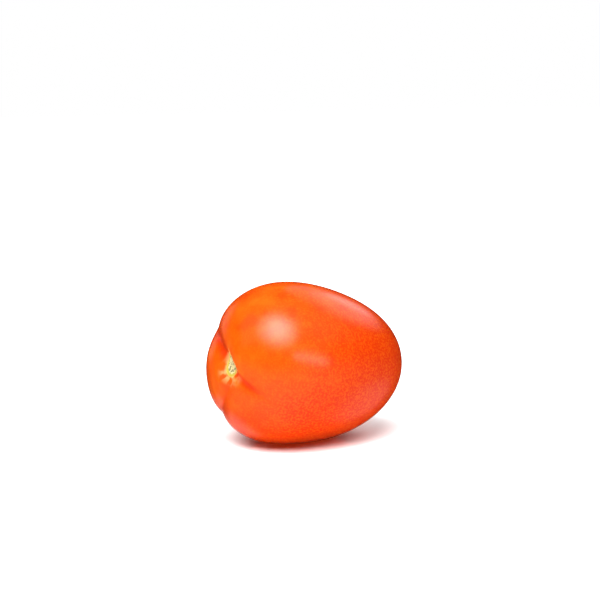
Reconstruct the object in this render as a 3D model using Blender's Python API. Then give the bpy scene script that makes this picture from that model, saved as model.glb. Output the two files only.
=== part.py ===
"""A plum tomato lying on its side: one solid fruit with a sunken stem scar and three shallow grooves.

The fruit's axis runs along X, stem end at -X and blossom end at +X, with +Z up. The fruit rests on a
small flat spot at Z = 0, and the origin is under the middle of its box. Lengths are in metres.
"""

import math

import bmesh
import bpy
from mathutils import Matrix, Vector

# Driving dimensions
EGG_LENGTH = 0.0693        # pole to pole, before the stem end is sunk
EGG_WIDTH = 0.0522         # across a plain ellipsoid of that length, which the swells below widen
STEM_SWELL = 0.188         # makes the stem half fuller and the blossom half slimmer
END_SWELL = 0.141          # makes both ends blunter
SHOULDER_SWELL = 0.020     # squares the shoulder around the stem
REST_TILT = math.radians(3.1)   # the broad stem end lies higher than the blossom end
FLAT_DEPTH = 0.0005        # skin pressed flat under the fruit

DIMPLE_LEFT = 0.0016       # the dimple lies a little off the axis, towards the fullest lobe
DIMPLE_UP = 0.0012
DIMPLE_DEPTH = 0.0031      # how far the stem scar lies below the shoulder
DIMPLE_RADIUS = 0.0040
DIMPLE_SQUARENESS = 2.4    # 2 is a round bowl, more has a flatter floor and a steeper wall

# Each groove is a valley between two lobes, seen from the stem end. It runs outward in a direction
# measured from straight up towards -Y, misses the stem by `offset`, and curves by `bend` per metre.
GROOVES = (
    {"direction": math.radians(-42.7), "offset": 0.0033, "bend": -17.6,
     "depth": 0.0025, "width": 0.0085, "reach": 0.0217},
    {"direction": math.radians(130.7), "offset": -0.0039, "bend": -7.8,
     "depth": 0.0016, "width": 0.0030, "reach": 0.0180},
    {"direction": math.radians(-162.2), "offset": -0.0048, "bend": 25.0,
     "depth": 0.0011, "width": 0.0042, "reach": 0.0252},
)
GROOVE_START = 0.0015      # distance from the stem at which a groove begins
GROOVE_FADE_IN = 0.0010
GROOVE_FADE_OUT = 0.0026
GROOVE_FLOOR = 0.0011      # rounds the bottom of the valley
NEAR_WIDTH = 0.40          # a groove's width at the stem, as a share of its width at its reach
SHOULDER_END = math.radians(86)     # the grooves are gone before the fruit's widest part
SHOULDER_FADE = math.radians(4)

# The three lobes between the grooves are not equally full.
LOBES = (
    {"middle": math.radians(18), "spread": math.radians(45),
     "latitude": math.radians(68), "fullness": 0.0014},
    {"middle": math.radians(151), "spread": math.radians(35),
     "latitude": math.radians(68), "fullness": -0.0016},
    {"middle": math.radians(-114), "spread": math.radians(39),
     "latitude": math.radians(37), "fullness": -0.0006},
)
LOBE_LATITUDE_SPREAD = math.radians(22)

AROUND = 60                # faces round the axis
ALONG = 40                 # faces from pole to pole
STEM_CROWDING = 0.30       # draws the rings of faces towards the stem end
CREASE_ANGLE = math.radians(25)


def egg(latitude):
    """Distance along the axis and radius of the plain egg, 0 = stem pole, pi = blossom pole."""
    c = math.cos(latitude)
    swell = 1 + STEM_SWELL * c + END_SWELL * c ** 2 + SHOULDER_SWELL * c ** 3
    return Vector((-EGG_LENGTH / 2 * c, EGG_WIDTH / 2 * math.sin(latitude) * swell))


def egg_normal(latitude):
    """Outward direction of the plain egg in the plane of its axis and radius."""
    step = 1e-3
    tangent = egg(latitude + step) - egg(latitude - step)
    return Vector((-tangent.y, tangent.x)).normalized()


def fade_in(distance, length):
    """0 well below zero distance and 1 well above it."""
    return 1 / (1 + math.exp(-distance / length))


def groove_depth(groove, left, up):
    """Depth of one groove at a point of the end view."""
    out_left = math.sin(groove["direction"])
    out_up = math.cos(groove["direction"])
    outward = left * out_left + up * out_up
    aside = left * out_up - up * out_left - groove["offset"] - groove["bend"] * outward ** 2
    widening = NEAR_WIDTH + (1 - NEAR_WIDTH) * max(outward, 0) / groove["reach"]
    width = groove["width"] * widening
    valley = math.exp((GROOVE_FLOOR - math.hypot(aside, GROOVE_FLOOR)) / width)
    start = fade_in(outward - GROOVE_START, GROOVE_FADE_IN)
    end = fade_in(groove["reach"] - outward, GROOVE_FADE_OUT)
    return groove["depth"] * valley * start * end


def lobe_fullness(lobe, latitude, turn):
    """How far one lobe stands out from the plain egg."""
    aside = math.remainder(turn - lobe["middle"], 2 * math.pi) / lobe["spread"]
    along = (latitude - lobe["latitude"]) / LOBE_LATITUDE_SPREAD
    return lobe["fullness"] * math.exp(-(aside ** 2 + along ** 2) / 2)


def skin_point(latitude, turn):
    """Point of the fruit's skin, with the turn measured from straight up towards -Y."""
    axis, radius = egg(latitude)
    left = radius * math.sin(turn)
    up = radius * math.cos(turn)
    height = sum(lobe_fullness(lobe, latitude, turn) for lobe in LOBES)
    shoulder = fade_in(SHOULDER_END - latitude, SHOULDER_FADE)
    height -= sum(groove_depth(groove, left, up) for groove in GROOVES) * shoulder
    if latitude < math.pi / 2:
        from_stem = math.hypot(left - DIMPLE_LEFT, up - DIMPLE_UP)
        height -= DIMPLE_DEPTH * math.exp(-(from_stem / DIMPLE_RADIUS) ** DIMPLE_SQUARENESS)
    axis, radius = Vector((axis, radius)) + height * egg_normal(latitude)
    return Vector((axis, -radius * math.sin(turn), radius * math.cos(turn)))


def shape_fruit(bm):
    """Turn a unit sphere into the fruit, with its axis along X."""
    bmesh.ops.create_uvsphere(bm, u_segments=AROUND, v_segments=ALONG, radius=1.0)
    for vert in bm.verts:
        latitude = math.acos(max(-1.0, min(1.0, vert.co.z)))
        turn = math.atan2(vert.co.y, vert.co.x)
        latitude -= STEM_CROWDING * math.sin(latitude)
        vert.co = skin_point(latitude, turn)
    bmesh.ops.recalc_face_normals(bm, faces=bm.faces)


def lay_on_side(bm):
    """Tilt the fruit to its resting pose, press its lowest skin flat and put that spot at Z = 0."""
    bmesh.ops.rotate(bm, verts=bm.verts, matrix=Matrix.Rotation(REST_TILT, 3, "Y"))
    lowest = min(vert.co.z for vert in bm.verts)
    cut = bmesh.ops.bisect_plane(
        bm,
        geom=bm.verts[:] + bm.edges[:] + bm.faces[:],
        plane_co=(0, 0, lowest + FLAT_DEPTH),
        plane_no=(0, 0, -1),
        clear_outer=True,
    )
    rim = [item for item in cut["geom_cut"] if isinstance(item, bmesh.types.BMEdge)]
    bmesh.ops.holes_fill(bm, edges=rim, sides=0)
    bmesh.ops.recalc_face_normals(bm, faces=bm.faces)
    low = Vector([min(vert.co[i] for vert in bm.verts) for i in range(3)])
    high = Vector([max(vert.co[i] for vert in bm.verts) for i in range(3)])
    middle = (low + high) / 2
    bmesh.ops.translate(bm, verts=bm.verts, vec=(-middle.x, -middle.y, -low.z))


def skin_material():
    """Ripe, waxy tomato skin."""
    material = bpy.data.materials.new("tomato_skin")
    material.use_nodes = True
    shader = material.node_tree.nodes["Principled BSDF"]
    shader.inputs["Base Color"].default_value = (0.62, 0.060, 0.003, 1.0)
    shader.inputs["Roughness"].default_value = 0.28
    shader.inputs["Metallic"].default_value = 0.0
    return material


def make_tomato(collection):
    """The whole fruit as one closed body."""
    bm = bmesh.new()
    shape_fruit(bm)
    lay_on_side(bm)
    mesh = bpy.data.meshes.new("tomato")
    bm.to_mesh(mesh)
    bm.free()
    mesh.materials.append(skin_material())
    mesh.shade_smooth()
    mesh.set_sharp_from_angle(angle=CREASE_ANGLE)
    tomato = bpy.data.objects.new("tomato", mesh)
    collection.objects.link(tomato)
    return tomato


for old in list(bpy.data.objects):
    bpy.data.objects.remove(old, do_unlink=True)

plum_tomato = bpy.data.collections.new("plum_tomato")
bpy.context.scene.collection.children.link(plum_tomato)
make_tomato(plum_tomato)
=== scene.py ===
"""A ripe plum tomato lying on its side on a pale studio floor."""

import math

import bmesh
import bpy
import numpy as np
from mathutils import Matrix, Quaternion, Vector, noise


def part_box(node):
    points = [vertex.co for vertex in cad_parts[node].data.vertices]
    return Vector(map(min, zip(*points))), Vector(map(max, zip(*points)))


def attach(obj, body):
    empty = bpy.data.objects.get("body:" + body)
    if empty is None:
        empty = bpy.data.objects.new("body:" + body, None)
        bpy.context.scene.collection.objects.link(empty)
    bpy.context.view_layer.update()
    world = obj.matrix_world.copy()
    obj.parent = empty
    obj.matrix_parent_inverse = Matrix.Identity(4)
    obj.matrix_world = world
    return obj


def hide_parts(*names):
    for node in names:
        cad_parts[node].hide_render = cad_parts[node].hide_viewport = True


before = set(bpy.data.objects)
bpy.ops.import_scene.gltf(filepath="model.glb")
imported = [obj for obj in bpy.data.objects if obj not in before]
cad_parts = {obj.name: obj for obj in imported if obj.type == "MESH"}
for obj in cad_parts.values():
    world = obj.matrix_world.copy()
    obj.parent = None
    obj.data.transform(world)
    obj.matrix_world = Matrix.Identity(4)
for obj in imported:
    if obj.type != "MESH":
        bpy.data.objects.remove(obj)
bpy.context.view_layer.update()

# ---------------------------------------------------------------------------------------------
# The fruit. One grown piece: a thin waxy skin over firm flesh, egg-shaped, with three lobes that
# swell around the stem and leave shallow grooves where they meet. The stem has snapped off and
# left a corky scar at the bottom of a dimple, and the flower a dry point at the other end.
# ---------------------------------------------------------------------------------------------

EGG_LENGTH = 0.0693        # pole to pole, before the stem end is sunk
EGG_WIDTH = 0.0522         # across a plain ellipsoid of that length, which the swells widen
STEM_SWELL = 0.188         # makes the stem half fuller and the blossom half slimmer
END_SWELL = 0.141          # makes both ends blunter
SHOULDER_SWELL = 0.020     # squares the shoulder around the stem
REST_TILT = math.radians(3.1)
FLAT_DEPTH = 0.0005        # skin pressed flat under the fruit
FLAT_RIM = 0.00008         # rounds the edge of the flat spot

SPOKES = 320               # faces round the axis
RINGS = 250                # faces from pole to pole
STEM_CROWDING = 0.25       # draws the rings of faces towards the stem end
POLE_CROWDING = 0.30       # draws them towards both ends

# The dimple and its scar sit a little off the fruit's axis, towards the fullest lobe. In all that
# follows, `left` is towards -Y and `up` towards +Z, as seen from the stem end.
STEM_LEFT = 0.0016
STEM_UP = 0.0012
DIMPLE_DEPTH = 0.0031
DIMPLE_RADIUS = 0.0040
DIMPLE_SQUARENESS = 2.4

# Each groove is a valley between two lobes. It runs outward in a direction measured from straight
# up towards the left, misses the stem by `offset`, and curves by `bend` per metre.
GROOVES = (
    {"direction": math.radians(-42.7), "offset": 0.0033, "bend": -17.6,
     "depth": 0.0025, "width": 0.0085, "reach": 0.0217},
    {"direction": math.radians(130.7), "offset": -0.0039, "bend": -7.8,
     "depth": 0.0016, "width": 0.0030, "reach": 0.0180},
    {"direction": math.radians(-162.2), "offset": -0.0048, "bend": 25.0,
     "depth": 0.0011, "width": 0.0042, "reach": 0.0252},
)
GROOVE_START = 0.0015      # distance from the stem at which a groove begins
GROOVE_FADE_IN = 0.0010
GROOVE_FADE_OUT = 0.0026
GROOVE_FLOOR = 0.0011      # rounds the bottom of the valley
NEAR_WIDTH = 0.40          # a groove's width at the stem, as a share of its width at its reach
SHALLOWEST = 0.0016        # a groove shallower than this gets less painted shade than a deep one
SHOULDER_END = math.radians(86)     # the grooves are gone before the fruit's widest part
SHOULDER_FADE = math.radians(4)

# The three lobes between the grooves are not equally full.
LOBES = (
    {"middle": math.radians(18), "spread": math.radians(45),
     "latitude": math.radians(68), "fullness": 0.0014},
    {"middle": math.radians(151), "spread": math.radians(35),
     "latitude": math.radians(68), "fullness": -0.0016},
    {"middle": math.radians(-114), "spread": math.radians(39),
     "latitude": math.radians(37), "fullness": -0.0006},
)
LOBE_LATITUDE_SPREAD = math.radians(22)

# The scar is drop-shaped: its narrow end points up and leans towards +Y. A rough island of cork
# fills the middle, and a thin raised ring runs round it.
SCAR_LEFT = 0.0003
SCAR_UP = 0.0009
SCAR_TALL = 0.0037
SCAR_WIDE = 0.0024
SCAR_TAPER = 0.50
SCAR_LEAN = -0.32
CORK_SHARE = 0.80          # the island's size, as a share of the scar's
CORK_RISE = 0.0004
CORK_EDGE = 0.04
CORK_ROUGHNESS = 0.00018
CORK_LUMPS = 1400          # lumps per metre
RING_RISE = 0.0002
RING_WIDTH = 0.10

BLOSSOM_RADIUS = 0.0010
BLOSSOM_PIT = 0.0003


def egg(latitude):
    """Distance along the axis and radius of the plain egg, 0 = stem pole, pi = blossom pole."""
    c = np.cos(latitude)
    swell = 1 + STEM_SWELL * c + END_SWELL * c ** 2 + SHOULDER_SWELL * c ** 3
    return -EGG_LENGTH / 2 * c, EGG_WIDTH / 2 * np.sin(latitude) * swell


def egg_normal(latitude):
    """Outward direction of the plain egg in the plane of its axis and radius."""
    step = 1e-3
    before, after = egg(latitude - step), egg(latitude + step)
    along, out = after[0] - before[0], after[1] - before[1]
    length = np.hypot(along, out)
    return -out / length, along / length


def fade_in(distance, length):
    """0 well below zero distance and 1 well above it."""
    return 1 / (1 + np.exp(-np.clip(distance / length, -40, 40)))


def groove_depth(groove, left, up):
    """Depth of one groove at points of the end view."""
    out_left, out_up = math.sin(groove["direction"]), math.cos(groove["direction"])
    outward = left * out_left + up * out_up
    aside = left * out_up - up * out_left - groove["offset"] - groove["bend"] * outward ** 2
    widening = NEAR_WIDTH + (1 - NEAR_WIDTH) * np.maximum(outward, 0) / groove["reach"]
    width = groove["width"] * widening
    valley = np.exp((GROOVE_FLOOR - np.hypot(aside, GROOVE_FLOOR)) / width)
    start = fade_in(outward - GROOVE_START, GROOVE_FADE_IN)
    end = fade_in(groove["reach"] - outward, GROOVE_FADE_OUT)
    return groove["depth"] * valley * start * end


def lobe_fullness(lobe, latitude, turn):
    """How far one lobe stands out from the plain egg."""
    aside = (turn - lobe["middle"] + math.pi) % (2 * math.pi) - math.pi
    along = (latitude - lobe["latitude"]) / LOBE_LATITUDE_SPREAD
    return lobe["fullness"] * np.exp(-((aside / lobe["spread"]) ** 2 + along ** 2) / 2)


def scar_share(left, up):
    """0 at the scar's middle, 1 on its rim and more outside it."""
    narrowest, widest = 0.3, 1.6
    higher = (up - SCAR_UP) / SCAR_TALL
    aside = (left - SCAR_LEFT - SCAR_LEAN * (up - SCAR_UP)) / SCAR_WIDE
    return np.hypot(higher, aside / np.clip(1 - SCAR_TAPER * higher, narrowest, widest))


def scar_relief(share, left, up):
    """Height of the corky scar above the dimple's floor: a rough island inside a thin ring."""
    island = CORK_RISE * fade_in(CORK_SHARE - share, CORK_EDGE)
    ring = RING_RISE * np.exp(-((share - 1) / RING_WIDTH) ** 2)
    lumps = np.zeros_like(share)
    for i in np.nonzero(share < 1 + 3 * RING_WIDTH)[0]:
        lumps[i] = noise.fractal(Vector((left[i], up[i], 0.0)) * CORK_LUMPS, 1.0, 2.0, 3)
    return island + ring + CORK_ROUGHNESS * lumps * fade_in(1 - share, RING_WIDTH)


fruit_mesh = bpy.data.meshes.new("tomato_fruit")
bm = bmesh.new()
bmesh.ops.create_uvsphere(bm, u_segments=SPOKES, v_segments=RINGS, radius=1.0)
bm.to_mesh(fruit_mesh)
bm.free()

points = np.empty(len(fruit_mesh.vertices) * 3, dtype=np.float32)
fruit_mesh.vertices.foreach_get("co", points)
points = points.reshape(-1, 3).astype(float)
from_stem_pole = np.arccos(np.clip(points[:, 2], -1, 1))
turn = np.arctan2(points[:, 1], points[:, 0])
crowding = STEM_CROWDING * np.sin(from_stem_pole) + POLE_CROWDING * np.sin(2 * from_stem_pole)
latitude = from_stem_pole - crowding

axis, radius = egg(latitude)
left, up = radius * np.sin(turn), radius * np.cos(turn)
height = sum(lobe_fullness(lobe, latitude, turn) for lobe in LOBES)
stem_half = latitude < math.pi / 2
shoulder = fade_in(SHOULDER_END - latitude, SHOULDER_FADE)
depths = [groove_depth(groove, left, up) * shoulder for groove in GROOVES]
full_depths = [max(groove["depth"], SHALLOWEST) for groove in GROOVES]
crease = np.max([depth / full for depth, full in zip(depths, full_depths)], axis=0)
from_stem = np.hypot(left - STEM_LEFT, up - STEM_UP)
dimple = DIMPLE_DEPTH * np.exp(-(from_stem / DIMPLE_RADIUS) ** DIMPLE_SQUARENESS) * stem_half
scar = np.where(stem_half, scar_share(left - STEM_LEFT, up - STEM_UP), 9.0)
relief = scar_relief(scar, left, up) * stem_half
from_blossom = np.where(stem_half, 1.0, radius)
blossom_pit = BLOSSOM_PIT * np.exp(-(from_blossom / BLOSSOM_RADIUS) ** 2)
height = height - sum(depths) - dimple + relief - blossom_pit
normal_axis, normal_radius = egg_normal(latitude)
axis = axis + height * normal_axis
radius = radius + height * normal_radius

x, y, z = axis, -radius * np.sin(turn), radius * np.cos(turn)
tilt_cos, tilt_sin = math.cos(REST_TILT), math.sin(REST_TILT)
x, z = tilt_cos * x + tilt_sin * z, -tilt_sin * x + tilt_cos * z
floor_level = z.min() + FLAT_DEPTH
z = floor_level + np.logaddexp(0, (z - floor_level) / FLAT_RIM) * FLAT_RIM

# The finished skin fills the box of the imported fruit.
fruit_low, fruit_high = (Vector(corner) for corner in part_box("tomato"))
placed = np.stack([x, y, z], axis=1)
low, high = placed.min(axis=0), placed.max(axis=0)
placed = np.array(fruit_low) + (placed - low) / (high - low) * np.array(fruit_high - fruit_low)
fruit_mesh.vertices.foreach_set("co", placed.astype(np.float32).ravel())
fruit_mesh.update()

# What the skin's colours need to know of each point: how deep in a groove it is, and how far from
# the scar, along the fruit and from the blossom end.
skin_layers = (
    ("crease", crease),
    ("scar", scar),
    ("along", from_stem_pole / math.pi),
    ("from_blossom", from_blossom),
)
for name, values in skin_layers:
    layer = fruit_mesh.attributes.new(name, "FLOAT", "POINT")
    layer.data.foreach_set("value", np.asarray(values, dtype=np.float32))

bm = bmesh.new()
bm.from_mesh(fruit_mesh)
bmesh.ops.recalc_face_normals(bm, faces=bm.faces)
bm.to_mesh(fruit_mesh)
bm.free()
fruit_mesh.shade_smooth()
fruit = bpy.data.objects.new("tomato_fruit", fruit_mesh)
bpy.context.scene.collection.objects.link(fruit)


class Wire:
    """A socket in a tree of shader nodes. Arithmetic on it adds Math nodes."""

    def __init__(self, tree, socket=None):
        self.tree = tree
        self.socket = socket

    def node(self, kind, settings=None, sockets=None, output=0):
        """Add any node: first its settings, then a value or a wire into each named socket."""
        made = self.tree.nodes.new("ShaderNode" + kind)
        for name, value in (settings or {}).items():
            setattr(made, name, value)
        for name, value in (sockets or {}).items():
            if isinstance(value, Wire):
                self.tree.links.new(value.socket, made.inputs[name])
            else:
                made.inputs[name].default_value = value
        return Wire(self.tree, made.outputs[output]) if output is not None else None

    def maths(self, operation, first, second):
        return self.node("Math", {"operation": operation}, {0: first, 1: second})

    def __add__(self, other):
        return self.maths("ADD", self, other)

    def __radd__(self, other):
        return self.maths("ADD", other, self)

    def __sub__(self, other):
        return self.maths("SUBTRACT", self, other)

    def __rsub__(self, other):
        return self.maths("SUBTRACT", other, self)

    def __mul__(self, other):
        return self.maths("MULTIPLY", self, other)

    def __rmul__(self, other):
        return self.maths("MULTIPLY", other, self)


def smooth_step(wire, start, end):
    """0 before start, 1 after end, and a soft change in between."""
    sockets = {"Value": wire, "From Min": start, "From Max": end}
    return wire.node("MapRange", {"interpolation_type": "SMOOTHSTEP"}, sockets)


def blend(wire, under, over):
    """Lay one colour over another by a wire from 0 to 1. Sockets 6 and 7 are the two colours."""
    sockets = {"Factor": wire, 6: under, 7: over}
    return wire.node("Mix", {"data_type": "RGBA"}, sockets, output=2)


SKIN_ORANGE = (0.56, 0.060, 0.0006, 1)      # the lit tone painted on the stem half and the top
SKIN_RED = (0.46, 0.021, 0.0003, 1)         # painted shade on the blossom half and the underside, and random redder patches
SKIN_GROOVE_SHADE = (0.42, 0.016, 0.0003, 1)        # painted shade in the grooves
SKIN_PALE = (0.62, 0.100, 0.003, 1)         # cloudy paler patches, only on skin painted as lit
FLECK = (0.60, 0.090, 0.003, 1)
HALO = (0.66, 0.32, 0.11, 1)                # pale peach streaks round the scar
SCAR_GREEN = (0.36, 0.28, 0.03, 1)
CORK_CREAM = (0.48, 0.40, 0.20, 1)
CORK_OLIVE = (0.09, 0.08, 0.03, 1)
BLOSSOM_BROWN = (0.10, 0.04, 0.015, 1)
TOP_PAINTED_LIGHT = 8.0              # how much oranger the top is painted, as lit, per metre of height
WAX_ROUGHNESS = 0.18
SCAR_ROUGHNESS = 0.5       # added on the scar

skin = bpy.data.materials.new("tomato_skin")
skin.use_nodes = True
skin.node_tree.nodes.clear()
wiring = Wire(skin.node_tree)
place = wiring.node("TexCoord", output=3)
height = wiring.node("SeparateXYZ", None, {"Vector": place}, output=2)
crease = wiring.node("Attribute", {"attribute_name": "crease"}, output=2)
scar = wiring.node("Attribute", {"attribute_name": "scar"}, output=2)
along = wiring.node("Attribute", {"attribute_name": "along"}, output=2)
from_blossom = wiring.node("Attribute", {"attribute_name": "from_blossom"}, output=2)


def cloud(per_metre, detail):
    """Soft random patches, so many to the metre."""
    return wiring.node("TexNoise", None, {"Vector": place, "Scale": per_metre, "Detail": detail})


# The ground colour reddens towards the blossom end and the underside in painted shade, and is painted a
# lit orange on the top and stem half, broken by broad random clouds.
clouds = cloud(45.0, 2.0)
redness_and_painted_shade = smooth_step(along + clouds * 0.35 - height * TOP_PAINTED_LIGHT, 0.08, 0.60)
colour = blend(redness_and_painted_shade, SKIN_ORANGE, SKIN_RED)

# Fine pale mottling, stronger on the blossom half.
mottle = cloud(1500.0, 1.0)
speckle = 0.26 + 0.24 * smooth_step(along, 0.20, 0.50)
colour = blend(smooth_step(mottle, 0.38, 0.70) * speckle, colour, FLECK)

# Paler patches about 8 mm across where the skin is painted as lit, random redder patches, and painted
# shade, a darker red, in the grooves.
blush = cloud(130.0, 2.0)
colour = blend(smooth_step(blush, 0.50, 0.72) * (1 - redness_and_painted_shade) * 0.55, colour, SKIN_PALE)
colour = blend((1 - smooth_step(blush, 0.30, 0.46)) * 0.40, colour, SKIN_RED)
colour = blend(smooth_step(crease, 0.50, 0.98) * 0.8, colour, SKIN_GROOVE_SHADE)

# Scattered flecks a fraction of a millimetre wide.
dots = wiring.node("TexVoronoi", None, {"Vector": place, "Scale": 900.0})
fleck_patches = cloud(260.0, 1.0)
flecks = (1 - smooth_step(dots, 0.10, 0.30)) * smooth_step(fleck_patches, 0.45, 0.65)
colour = blend(flecks * 0.35, colour, FLECK)

# Pale peach streaks round the scar, the green rim of the scar, and its cream cork with dark pits.
drift = cloud(420.0, 1.0)
halo = (1 - smooth_step(scar, 1.0, 2.1)) * smooth_step(drift, 0.36, 0.60)
colour = blend(halo * 0.8, colour, HALO)
rim = 1 - smooth_step(scar, 1.02, 1.14)
colour = blend(rim, colour, SCAR_GREEN)
pits = cloud(1300.0, 3.0)
cork_colour = blend(smooth_step(pits, 0.50, 0.60), CORK_CREAM, CORK_OLIVE)
cork = 1 - smooth_step(scar, CORK_SHARE - CORK_EDGE, CORK_SHARE + RING_WIDTH)
colour = blend(cork, colour, cork_colour)

# The dry point at the blossom end.
ragged = from_blossom + (drift - 0.5) * BLOSSOM_RADIUS
blossom = 1 - smooth_step(ragged, BLOSSOM_RADIUS * 0.4, BLOSSOM_RADIUS * 0.9)
colour = blend(blossom * 0.9, colour, BLOSSOM_BROWN)

grain = cloud(1400.0, 2.0)
bump = wiring.node("Bump", None, {"Strength": 0.15, "Distance": 0.0001, "Height": grain})
sockets = {
    "Base Color": colour,
    "Roughness": WAX_ROUGHNESS + clouds * 0.05 + rim * SCAR_ROUGHNESS,
    "Normal": bump,
    "IOR": 1.45,
    "Subsurface Weight": 0.10,
    "Subsurface Scale": 0.003,
    "Subsurface Radius": (1.0, 0.25, 0.1),
}
surface = wiring.node("BsdfPrincipled", None, sockets)
wiring.node("OutputMaterial", None, {"Surface": surface}, output=None)
fruit_mesh.materials.append(skin)

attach(fruit, "root")
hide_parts("tomato")

# ---------------------------------------------------------------------------------------------
# The floor. A large sheet of polished white acrylic, lit from below, which the fruit lies on. Round
# the fruit it shows shadow and a dull reflection, and further out it fades into plain white.
# ---------------------------------------------------------------------------------------------

FLOOR_SIZE = 6.0
CLEAR_FROM = 0.07          # the fade to plain white starts and ends at these distances
CLEAR_TO = 0.20
SHEET_WHITE = (0.95, 0.95, 0.95, 1)
POLISH_GREY = (0.45, 0.45, 0.45, 1)

bpy.ops.mesh.primitive_plane_add(size=FLOOR_SIZE, location=(0, 0, 0))
floor = bpy.context.object
floor.name = "studio_floor"
floor.visible_glossy = False
floor.visible_shadow = False        # lets the light under the sheet through to the fruit
acrylic = bpy.data.materials.new("white_acrylic")
acrylic.use_nodes = True
acrylic.node_tree.nodes.clear()
sheet = Wire(acrylic.node_tree)
spot = sheet.node("TexCoord", output=3)
distance = sheet.node("VectorMath", {"operation": "LENGTH"}, {0: spot}, output=1)
matt = sheet.node("BsdfDiffuse", None, {"Color": SHEET_WHITE})
polish = sheet.node("BsdfAnisotropic", None, {"Color": POLISH_GREY, "Roughness": 0.08})
lacquer = sheet.node("AddShader", None, {0: matt, 1: polish})
glow = sheet.node("Emission", None, {"Color": (1, 1, 1, 1), "Strength": 1.9})
clear = smooth_step(distance, CLEAR_FROM, CLEAR_TO)
faded = sheet.node("MixShader", None, {"Fac": clear, 1: lacquer, 2: glow})
sheet.node("OutputMaterial", None, {"Surface": faded}, output=None)
floor.data.materials.append(acrylic)

# ---------------------------------------------------------------------------------------------
# The studio light. Softboxes nested in each other stand in for one that is brighter in its middle:
# a round one high in front of the stem end, a long low one at the fruit's side, and white walls
# behind it. Fills that give no reflection light the rest, one of them through the floor.
# ---------------------------------------------------------------------------------------------

middle = (fruit_low + fruit_high) / 2


def toward(azimuth, elevation):
    """Direction from the fruit, with the azimuth in degrees from +X and the elevation from level."""
    turned, raised = math.radians(azimuth), math.radians(elevation)
    level = math.cos(raised)
    return Vector((math.cos(turned) * level, math.sin(turned) * level, math.sin(raised)))


def softbox(name, azimuth, elevation, distance, width, height, glow, shape="ELLIPSE", roll=0, seen="both"):
    """An area light facing the fruit; glow is its surface brightness.

    seen is "both", or "mirror" for a light that only shows in reflections, or "fill" for one that
    never does.
    """
    lamp = bpy.data.lights.new(name, "AREA")
    lamp.shape = shape
    lamp.size = width
    lamp.size_y = height
    face = width * height * (math.pi / 4 if shape == "ELLIPSE" else 1)
    lamp.energy = glow * math.pi * face
    light = bpy.data.objects.new(name, lamp)
    away = toward(azimuth, elevation)
    light.location = middle + away * distance
    facing = away.to_track_quat("Z", "Y") @ Quaternion((0, 0, 1), math.radians(roll))
    light.rotation_euler = facing.to_euler()
    light.visible_glossy = seen != "fill"
    light.visible_diffuse = seen != "mirror"
    bpy.context.scene.collection.objects.link(light)
    return light


softbox("overhead_softbox", -152, 54, 1.0, 1.30, 0.86, 1.8)
softbox("overhead_tube", -151, 54, 0.98, 0.90, 0.64, 2.6)
softbox("overhead_lamp", -151, 54, 0.96, 0.46, 0.38, 3.8)
softbox("low_strip", -90, 13, 1.0, 0.90, 0.14, 2.4, "RECTANGLE", roll=-18, seen="mirror")
softbox("low_strip_spill", -86, 12, 1.02, 1.10, 0.40, 0.8, roll=-18, seen="mirror")
softbox("back_wall", 22, 38, 1.5, 1.45, 1.30, 0.45)
softbox("back_wall_middle", 18, 34, 1.48, 0.85, 0.75, 0.55)
softbox("back_wall_lamp", 28, 24, 1.46, 0.42, 0.38, 0.75)
softbox("left_wall", 150, 36, 1.3, 0.9, 0.8, 0.30, seen="mirror")
softbox("key_fill", -140, 55, 1.5, 1.2, 1.2, 6.0, "RECTANGLE", seen="fill")
softbox("right_fill", -40, 42, 1.5, 1.5, 1.0, 1.45, "RECTANGLE", seen="fill")
softbox("rear_fill", 75, 30, 1.5, 1.4, 1.0, 0.7, "RECTANGLE", seen="fill")
softbox("floor_wash", -126, 75, 1.5, 1.2, 1.2, 1.2, "RECTANGLE", seen="fill")
softbox("under_floor_glow", -126, -80, 0.6, 0.8, 0.8, 1.1, "RECTANGLE", seen="fill")

# The room: white behind everything, a ceiling that lights from above only, so that the shadow under
# the fruit stays deep, and the few pale patches of floor and wall that the fruit mirrors.
CEILING_GLOW = 0.6
CEILING_FROM = 0.30        # sine of the elevation where the ceiling starts, and where it is full
CEILING_FULL = 0.80
ROOM_REFLECTION = 0.01
PATCH_CORE = 0.3           # share of a patch's spread that has its full glow
# Azimuth and elevation of each mirrored patch, its spread and its glow.
PALE_PATCHES = (
    (96, -43, 21, 0.60),
    (71, -23, 10, 0.80),
    (-9, -36, 24, 0.42),
    (90, 8, 15, 0.30),
)

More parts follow.
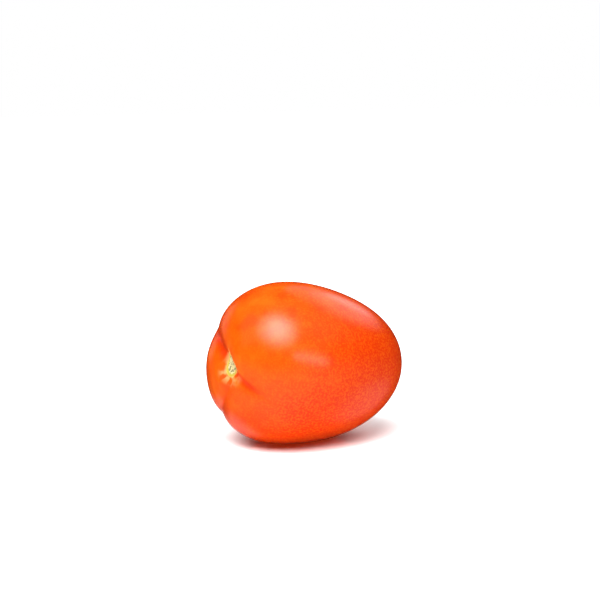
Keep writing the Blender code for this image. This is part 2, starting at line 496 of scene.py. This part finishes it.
room = bpy.data.worlds.new("pale_room")
room.use_nodes = True
room.cycles.sampling_method = "NONE"
bpy.context.scene.world = room
room.node_tree.nodes.clear()
air = Wire(room.node_tree)
heading = air.node("TexCoord")
mirrored_glow = ROOM_REFLECTION
for azimuth, elevation, spread, patch_glow in PALE_PATCHES:
    patch = {0: heading, 1: toward(azimuth, elevation)}
    nearness = air.node("VectorMath", {"operation": "DOT_PRODUCT"}, patch, output=1)
    edge, core = math.cos(math.radians(spread)), math.cos(math.radians(spread * PATCH_CORE))
    mirrored_glow = mirrored_glow + patch_glow * smooth_step(nearness, edge, core)
risen = air.node("SeparateXYZ", None, {"Vector": heading}, output=2)
ceiling = CEILING_GLOW * smooth_step(risen, CEILING_FROM, CEILING_FULL)
in_view = air.node("LightPath")
mirrored = air.node("LightPath", output=3)
lighting = mirrored * mirrored_glow + (1 - mirrored) * ceiling
strength = in_view + (1 - in_view) * lighting
background = air.node("Background", None, {"Color": (1, 1, 1, 1), "Strength": strength})
air.node("OutputWorld", None, {"Surface": background}, output=None)
bpy.context.scene.view_settings.view_transform = "Standard"

# ---------------------------------------------------------------------------------------------
# The camera. A long lens a little above the floor, in front of the stem end and to one side, which
# leaves wide white space round the fruit and more of it above than below.
# ---------------------------------------------------------------------------------------------

CAMERA_TURN = math.radians(-36)
CAMERA_RISE = math.radians(10)
CAMERA_DISTANCE = 0.56
LENS = 102.0
AIM_LEFT = 0.00296         # how far from the fruit's middle the lens points
AIM_UP = 0.01975

back = Vector((
    math.sin(CAMERA_TURN) * math.cos(CAMERA_RISE),
    -math.cos(CAMERA_TURN) * math.cos(CAMERA_RISE),
    math.sin(CAMERA_RISE),
))
right = Vector((math.cos(CAMERA_TURN), math.sin(CAMERA_TURN), 0))
camera_up = back.cross(right)
lens = bpy.data.cameras.new("camera")
lens.lens = LENS
camera = bpy.data.objects.new("camera", lens)
camera.location = middle + back * CAMERA_DISTANCE
target = middle - right * AIM_LEFT + camera_up * AIM_UP
camera.rotation_euler = (camera.location - target).to_track_quat("Z", "Y").to_euler()
bpy.context.scene.collection.objects.link(camera)
bpy.context.scene.camera = camera
